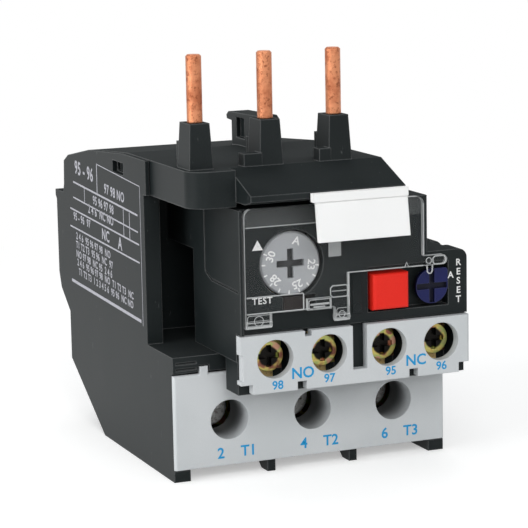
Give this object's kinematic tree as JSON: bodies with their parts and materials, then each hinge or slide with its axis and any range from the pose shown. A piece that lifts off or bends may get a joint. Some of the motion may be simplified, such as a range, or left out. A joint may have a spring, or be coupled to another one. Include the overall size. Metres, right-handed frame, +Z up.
{
  "type": "thermal overload relay",
  "caption": "Compact motor overload relay with copper pins and a latch hook on top, setting dial behind a hinged clear window, stop and reset buttons, and screw terminals.",
  "frame": {"origin": "middle of the footprint's bounding box, on the surface that the feet stand on", "axes": "+X to the right seen from the front, +Y from the front with the dial to the back, +Z up along the contactor pins"},
  "size_m": [0.045, 0.0706, 0.0643],
  "materials": {
    "black_plastic": "fine-grained black polyamide",
    "grey_plastic": "light grey moulding",
    "copper": "bare drawn copper",
    "brass": "rolled brass",
    "zinc_steel": "yellow passivated steel",
    "steel": "bright steel",
    "bimetal": "rolled bimetal",
    "clear_plastic": "clear polycarbonate",
    "white_plastic": "matt white",
    "red_plastic": "red moulding",
    "blue_plastic": "dark blue moulding",
    "dial_plastic": "mid grey moulding",
    "inner_plastic": "natural moulding of the trip gear"
  },
  "bodies": {
    "relay": {"base_housing": "black_plastic", "top_cover": "black_plastic", "load_terminal_cover": "grey_plastic", "trip_module_housing": "black_plastic", "aux_terminal_cover": "grey_plastic", "load_terminal_screws": "steel", "aux_terminal_screws": "zinc_steel", "aux_clamp_plates": "zinc_steel", "no_fixed_contact": "brass", "no_return_contact": "brass", "nc_fixed_contact": "brass", "nc_return_contact": "brass", "stop_button_spring": "steel", "reset_spring": "steel", "trip_lever_pin": "steel", "compensation_pin": "steel", "phase_pin_1": "copper", "bimetal_strip_1": "bimetal", "heater_winding_1": "steel", "load_bar_1": "brass", "load_cage_1": "zinc_steel", "phase_pin_2": "copper", "bimetal_strip_2": "bimetal", "heater_winding_2": "steel", "load_bar_2": "brass", "load_cage_2": "zinc_steel", "phase_pin_3": "copper", "bimetal_strip_3": "bimetal", "heater_winding_3": "steel", "load_bar_3": "brass", "load_cage_3": "zinc_steel"},
    "window": {"window_cover": "clear_plastic", "marker_plate": "white_plastic"},
    "dial": {"setting_dial": "dial_plastic", "dial_cam": "inner_plastic"},
    "compensator": {"compensation_lever": "inner_plastic"},
    "stop": {"stop_button": "red_plastic"},
    "reset_slide": {"reset_plunger": "inner_plastic"},
    "reset_turn": {"reset_knob": "blue_plastic"},
    "test": {"test_slider": "inner_plastic"},
    "slider": {"trip_slider": "inner_plastic"},
    "lever": {"trip_lever": "inner_plastic"},
    "carrier": {"contact_carrier": "inner_plastic", "no_bridge": "brass", "nc_bridge": "brass"}
  },
  "joints": [
    {"name": "window_hinge", "type": "hinge", "parent": "relay", "child": "window", "pos_m": [-0.0005, -0.02895, 0.02495], "axis": [1, 0, 0], "range_deg": [0, 95]},
    {"name": "dial_turn", "type": "hinge", "parent": "relay", "child": "dial", "pos_m": [-0.0064, -0.02015, 0.0333], "axis": [0, 1, 0], "range_deg": [-135, 135]},
    {"name": "compensation_rock", "type": "hinge", "parent": "relay", "child": "compensator", "pos_m": [0.0055, -0.02015, 0.036], "axis": [0, 1, 0], "range_deg": [-5, 5]},
    {"name": "stop_press", "type": "slide", "parent": "relay", "child": "stop", "axis": [0, 1, 0], "range_m": [0, 0.002], "stiffness_N_per_m": 400, "springref_m": -0.001, "deforming": ["stop_button_spring"]},
    {"name": "reset_press", "type": "slide", "parent": "relay", "child": "reset_slide", "axis": [0, 1, 0], "range_m": [0, 0.001], "stiffness_N_per_m": 400, "springref_m": -0.001, "deforming": ["reset_spring"]},
    {"name": "reset_mode", "type": "hinge", "parent": "reset_slide", "child": "reset_turn", "pos_m": [0.0165, -0.02015, 0.028], "axis": [0, 1, 0], "range_deg": [-90, 0]},
    {"name": "test_slide", "type": "slide", "parent": "relay", "child": "test", "axis": [1, 0, 0], "range_m": [0, 0.0015], "stiffness_N_per_m": 200, "springref_m": -0.001},
    {"name": "trip_slide", "type": "slide", "parent": "relay", "child": "slider", "axis": [1, 0, 0], "range_m": [0, 0.0015]},
    {"name": "lever_rock", "type": "hinge", "parent": "relay", "child": "lever", "pos_m": [0.012, -0.00255, 0.03], "axis": [0, 0, 1], "range_deg": [-7, 0.5]},
    {"name": "carrier_slide", "type": "slide", "parent": "relay", "child": "carrier", "axis": [0, 1, 0], "range_m": [-0.0001, 0.0013]}
  ],
  "couplings": [
    {"joint": "compensation_rock", "follows": "dial_turn", "ratio": 0.032888},
    {"joint": "lever_rock", "follows": "trip_slide", "rad_per_m": -76.923},
    {"joint": "carrier_slide", "follows": "trip_slide", "ratio": 0.76923}
  ]
}
